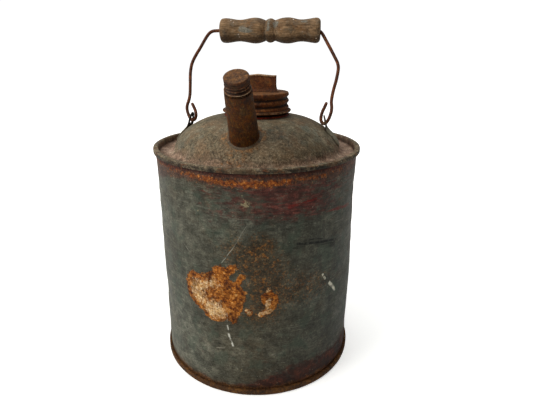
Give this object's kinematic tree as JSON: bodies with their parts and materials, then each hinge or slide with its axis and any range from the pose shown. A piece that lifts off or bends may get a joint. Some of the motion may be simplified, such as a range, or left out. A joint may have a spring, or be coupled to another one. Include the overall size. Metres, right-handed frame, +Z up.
{
  "type": "gas can",
  "caption": "Round sheet-metal fuel can with domed top, winged screw cap on the filler neck, leaning capped pour spout and a swinging wire bail with turned wood grip.",
  "frame": {"origin": "centre of the base, on the plane that the bottom seam stands on", "axes": "+Z up the can, the pour spout leans towards -Y, the bail ears stand at +X and -X, the body's lock seam is at +Y"},
  "size_m": [0.1684, 0.1684, 0.2846],
  "materials": {
    "galvanised_body": "dull weathered galvanised sheet with worn maroon paint bands, rust patches and scratches",
    "galvanised_end": "dull weathered galvanised sheet with rust along the seam",
    "galvanised_dome": "dusty olive-grey weathered sheet, reddish towards the ledge",
    "galvanised_ears": "dull weathered sheet strap",
    "rusted_fittings": "dark reddish-brown rusted steel, paler on worn beads",
    "rusted_wire": "dark brown rusted wire",
    "soft_solder": "dull grey soft solder",
    "gasket": "matt",
    "grip_wood": "weathered turned wood with remains of grey-blue paint"
  },
  "bodies": {
    "can": {"body_wall": "galvanised_body", "bottom_end": "galvanised_end", "dome_top": "galvanised_dome", "filler_neck": "rusted_fittings", "filler_neck_solder": "soft_solder", "spout_tube": "rusted_fittings", "spout_solder": "soft_solder", "spout_nozzle": "rusted_fittings", "ear_left": "galvanised_ears", "ear_right": "galvanised_ears"},
    "bail": {"bail_wire": "rusted_wire"},
    "grip": {"wood_grip": "grip_wood"},
    "filler_seal": {"filler_gasket": "gasket"},
    "filler_screw_cap": {"filler_cap": "rusted_fittings", "filler_cap_wing": "rusted_fittings"},
    "spout_seal": {"spout_gasket": "gasket"},
    "spout_screw_cap": {"spout_cap": "rusted_fittings"}
  },
  "joints": [
    {"name": "bail_swing", "type": "hinge", "parent": "can", "child": "bail", "pos_m": [0, 0, 0.2042], "axis": [1, 0, 0], "range_deg": [-70, 72]},
    {"name": "grip_spin", "type": "hinge", "parent": "bail", "child": "grip", "pos_m": [0, 0.03132, 0.27454], "axis": [1, 0, 0], "continuous": true},
    {"name": "filler_cap_lift", "type": "slide", "parent": "can", "child": "filler_seal", "axis": [0, 0, 1], "range_m": [0, 0.0171]},
    {"name": "filler_cap_turn", "type": "hinge", "parent": "filler_seal", "child": "filler_screw_cap", "pos_m": [0, 0, 0.22], "axis": [0, 0, 1], "range_deg": [0, 1200]},
    {"name": "spout_cap_lift", "type": "slide", "parent": "can", "child": "spout_seal", "axis": [0, -0.4695, 0.8829], "range_m": [0, 0.0091]},
    {"name": "spout_cap_turn", "type": "hinge", "parent": "spout_seal", "child": "spout_screw_cap", "pos_m": [0, -0.0522, 0.20183], "axis": [0, -0.4695, 0.8829], "range_deg": [0, 1080]}
  ],
  "couplings": [
    {"joint": "filler_cap_lift", "follows": "filler_cap_turn", "m_per_rad": 0.00080851},
    {"joint": "spout_cap_lift", "follows": "spout_cap_turn", "m_per_rad": 0.00047746}
  ]
}
